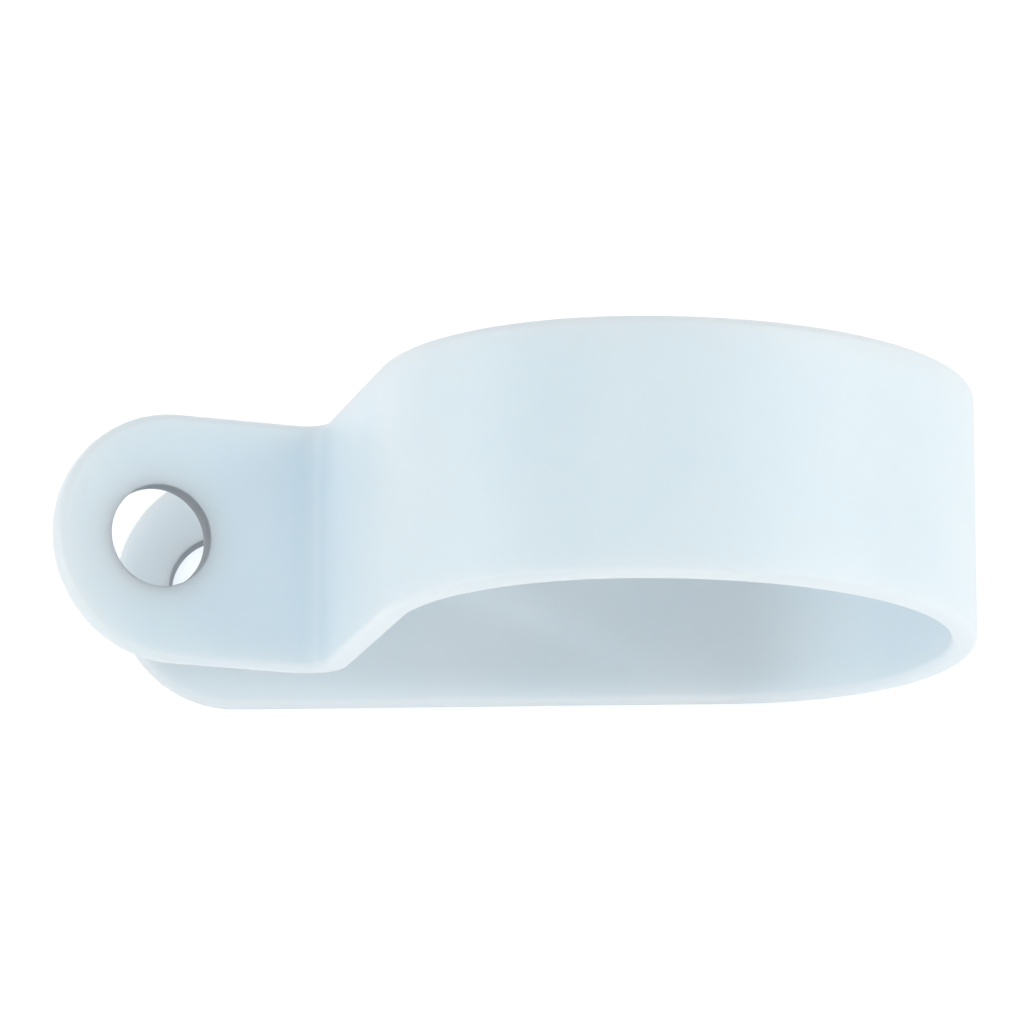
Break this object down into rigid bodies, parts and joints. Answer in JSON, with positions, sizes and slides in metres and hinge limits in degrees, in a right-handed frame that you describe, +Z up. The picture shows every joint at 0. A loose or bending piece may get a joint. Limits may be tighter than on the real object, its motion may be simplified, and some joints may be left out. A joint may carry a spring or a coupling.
{
  "type": "p clip",
  "caption": "Moulded nylon P clip: a strap bent into a round loop that holds a cable bundle, ending in two ears that one screw pulls together.",
  "frame": {"origin": "centre of the lower ear's screw hole, on the underside of the flat base", "axes": "+X from the ears towards the loop, along the base; +Y across the strap's width, along the cable; +Z up, away from the surface that the clip is screwed to"},
  "size_m": [0.046, 0.0126, 0.0311],
  "materials": {
    "nylon": "satin, translucent natural nylon"
  },
  "bodies": {
    "root": {"clip_body": "nylon"}
  },
  "joints": []
}
